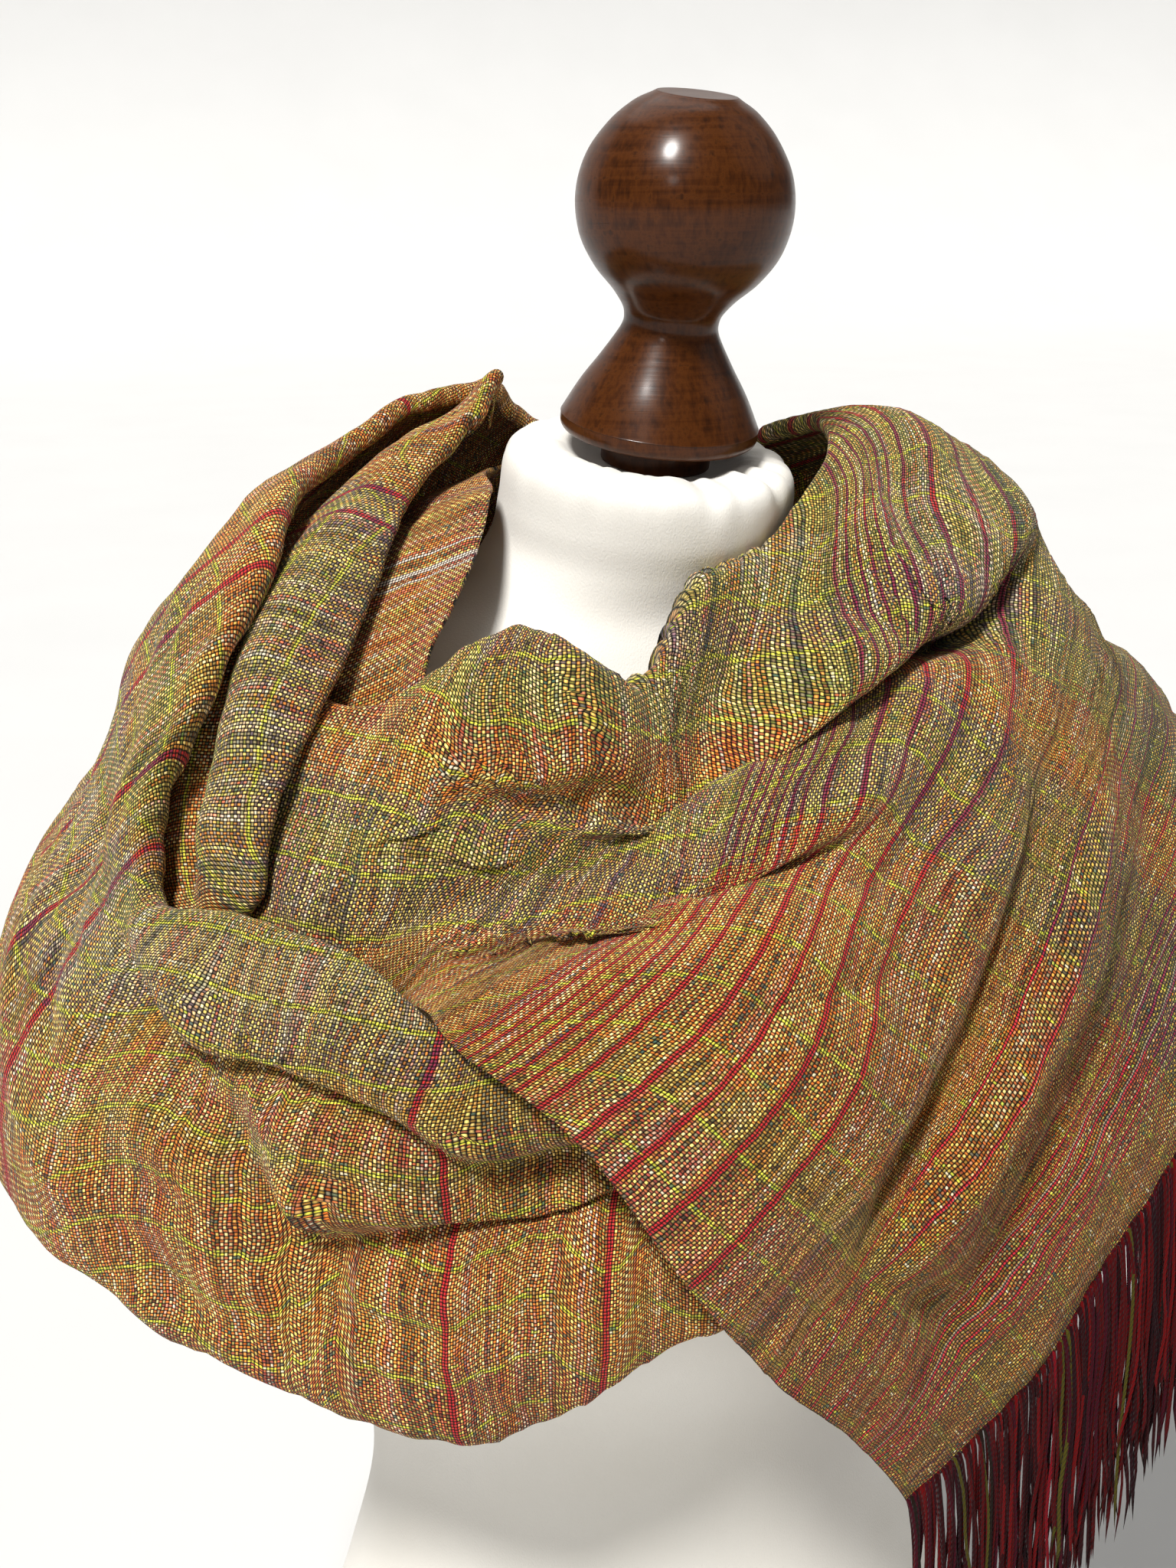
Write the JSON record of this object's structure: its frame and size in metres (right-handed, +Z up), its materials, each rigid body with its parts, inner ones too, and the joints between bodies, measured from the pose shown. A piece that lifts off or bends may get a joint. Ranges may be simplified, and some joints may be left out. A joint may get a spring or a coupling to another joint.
{
  "type": "handwoven wool scarf on a limbless dress form",
  "caption": "Striped handwoven wool scarf with a fringed end, wound once round a limbless jersey dress form that has a turned wooden neck knob.",
  "frame": {"origin": "centre of the form's flat underside", "axes": "+Z up, the front of the form faces -Y, +X is on the viewer's right as the form is seen from the front"},
  "size_m": [0.5796, 0.3443, 0.8341],
  "materials": {
    "jersey": "smooth cream jersey drawn over the form",
    "dark_wood": "turned, dark brown, glossy lacquer",
    "wool_weave": "coarse plain weave in olive, rust, grey and lime yarns with red weft stripes",
    "wool_fringe": "loose dark red and purple warp ends with a few olive ones"
  },
  "bodies": {
    "root": {"dress_form": "jersey", "neck_knob": "dark_wood", "inner_band": "wool_weave", "shoulder_fold": "wool_weave", "loop_stretch": "wool_weave", "front_stretch": "wool_weave", "fringe_front": "wool_fringe", "fringe_side": "wool_fringe", "fringe_back": "wool_fringe"}
  },
  "joints": []
}
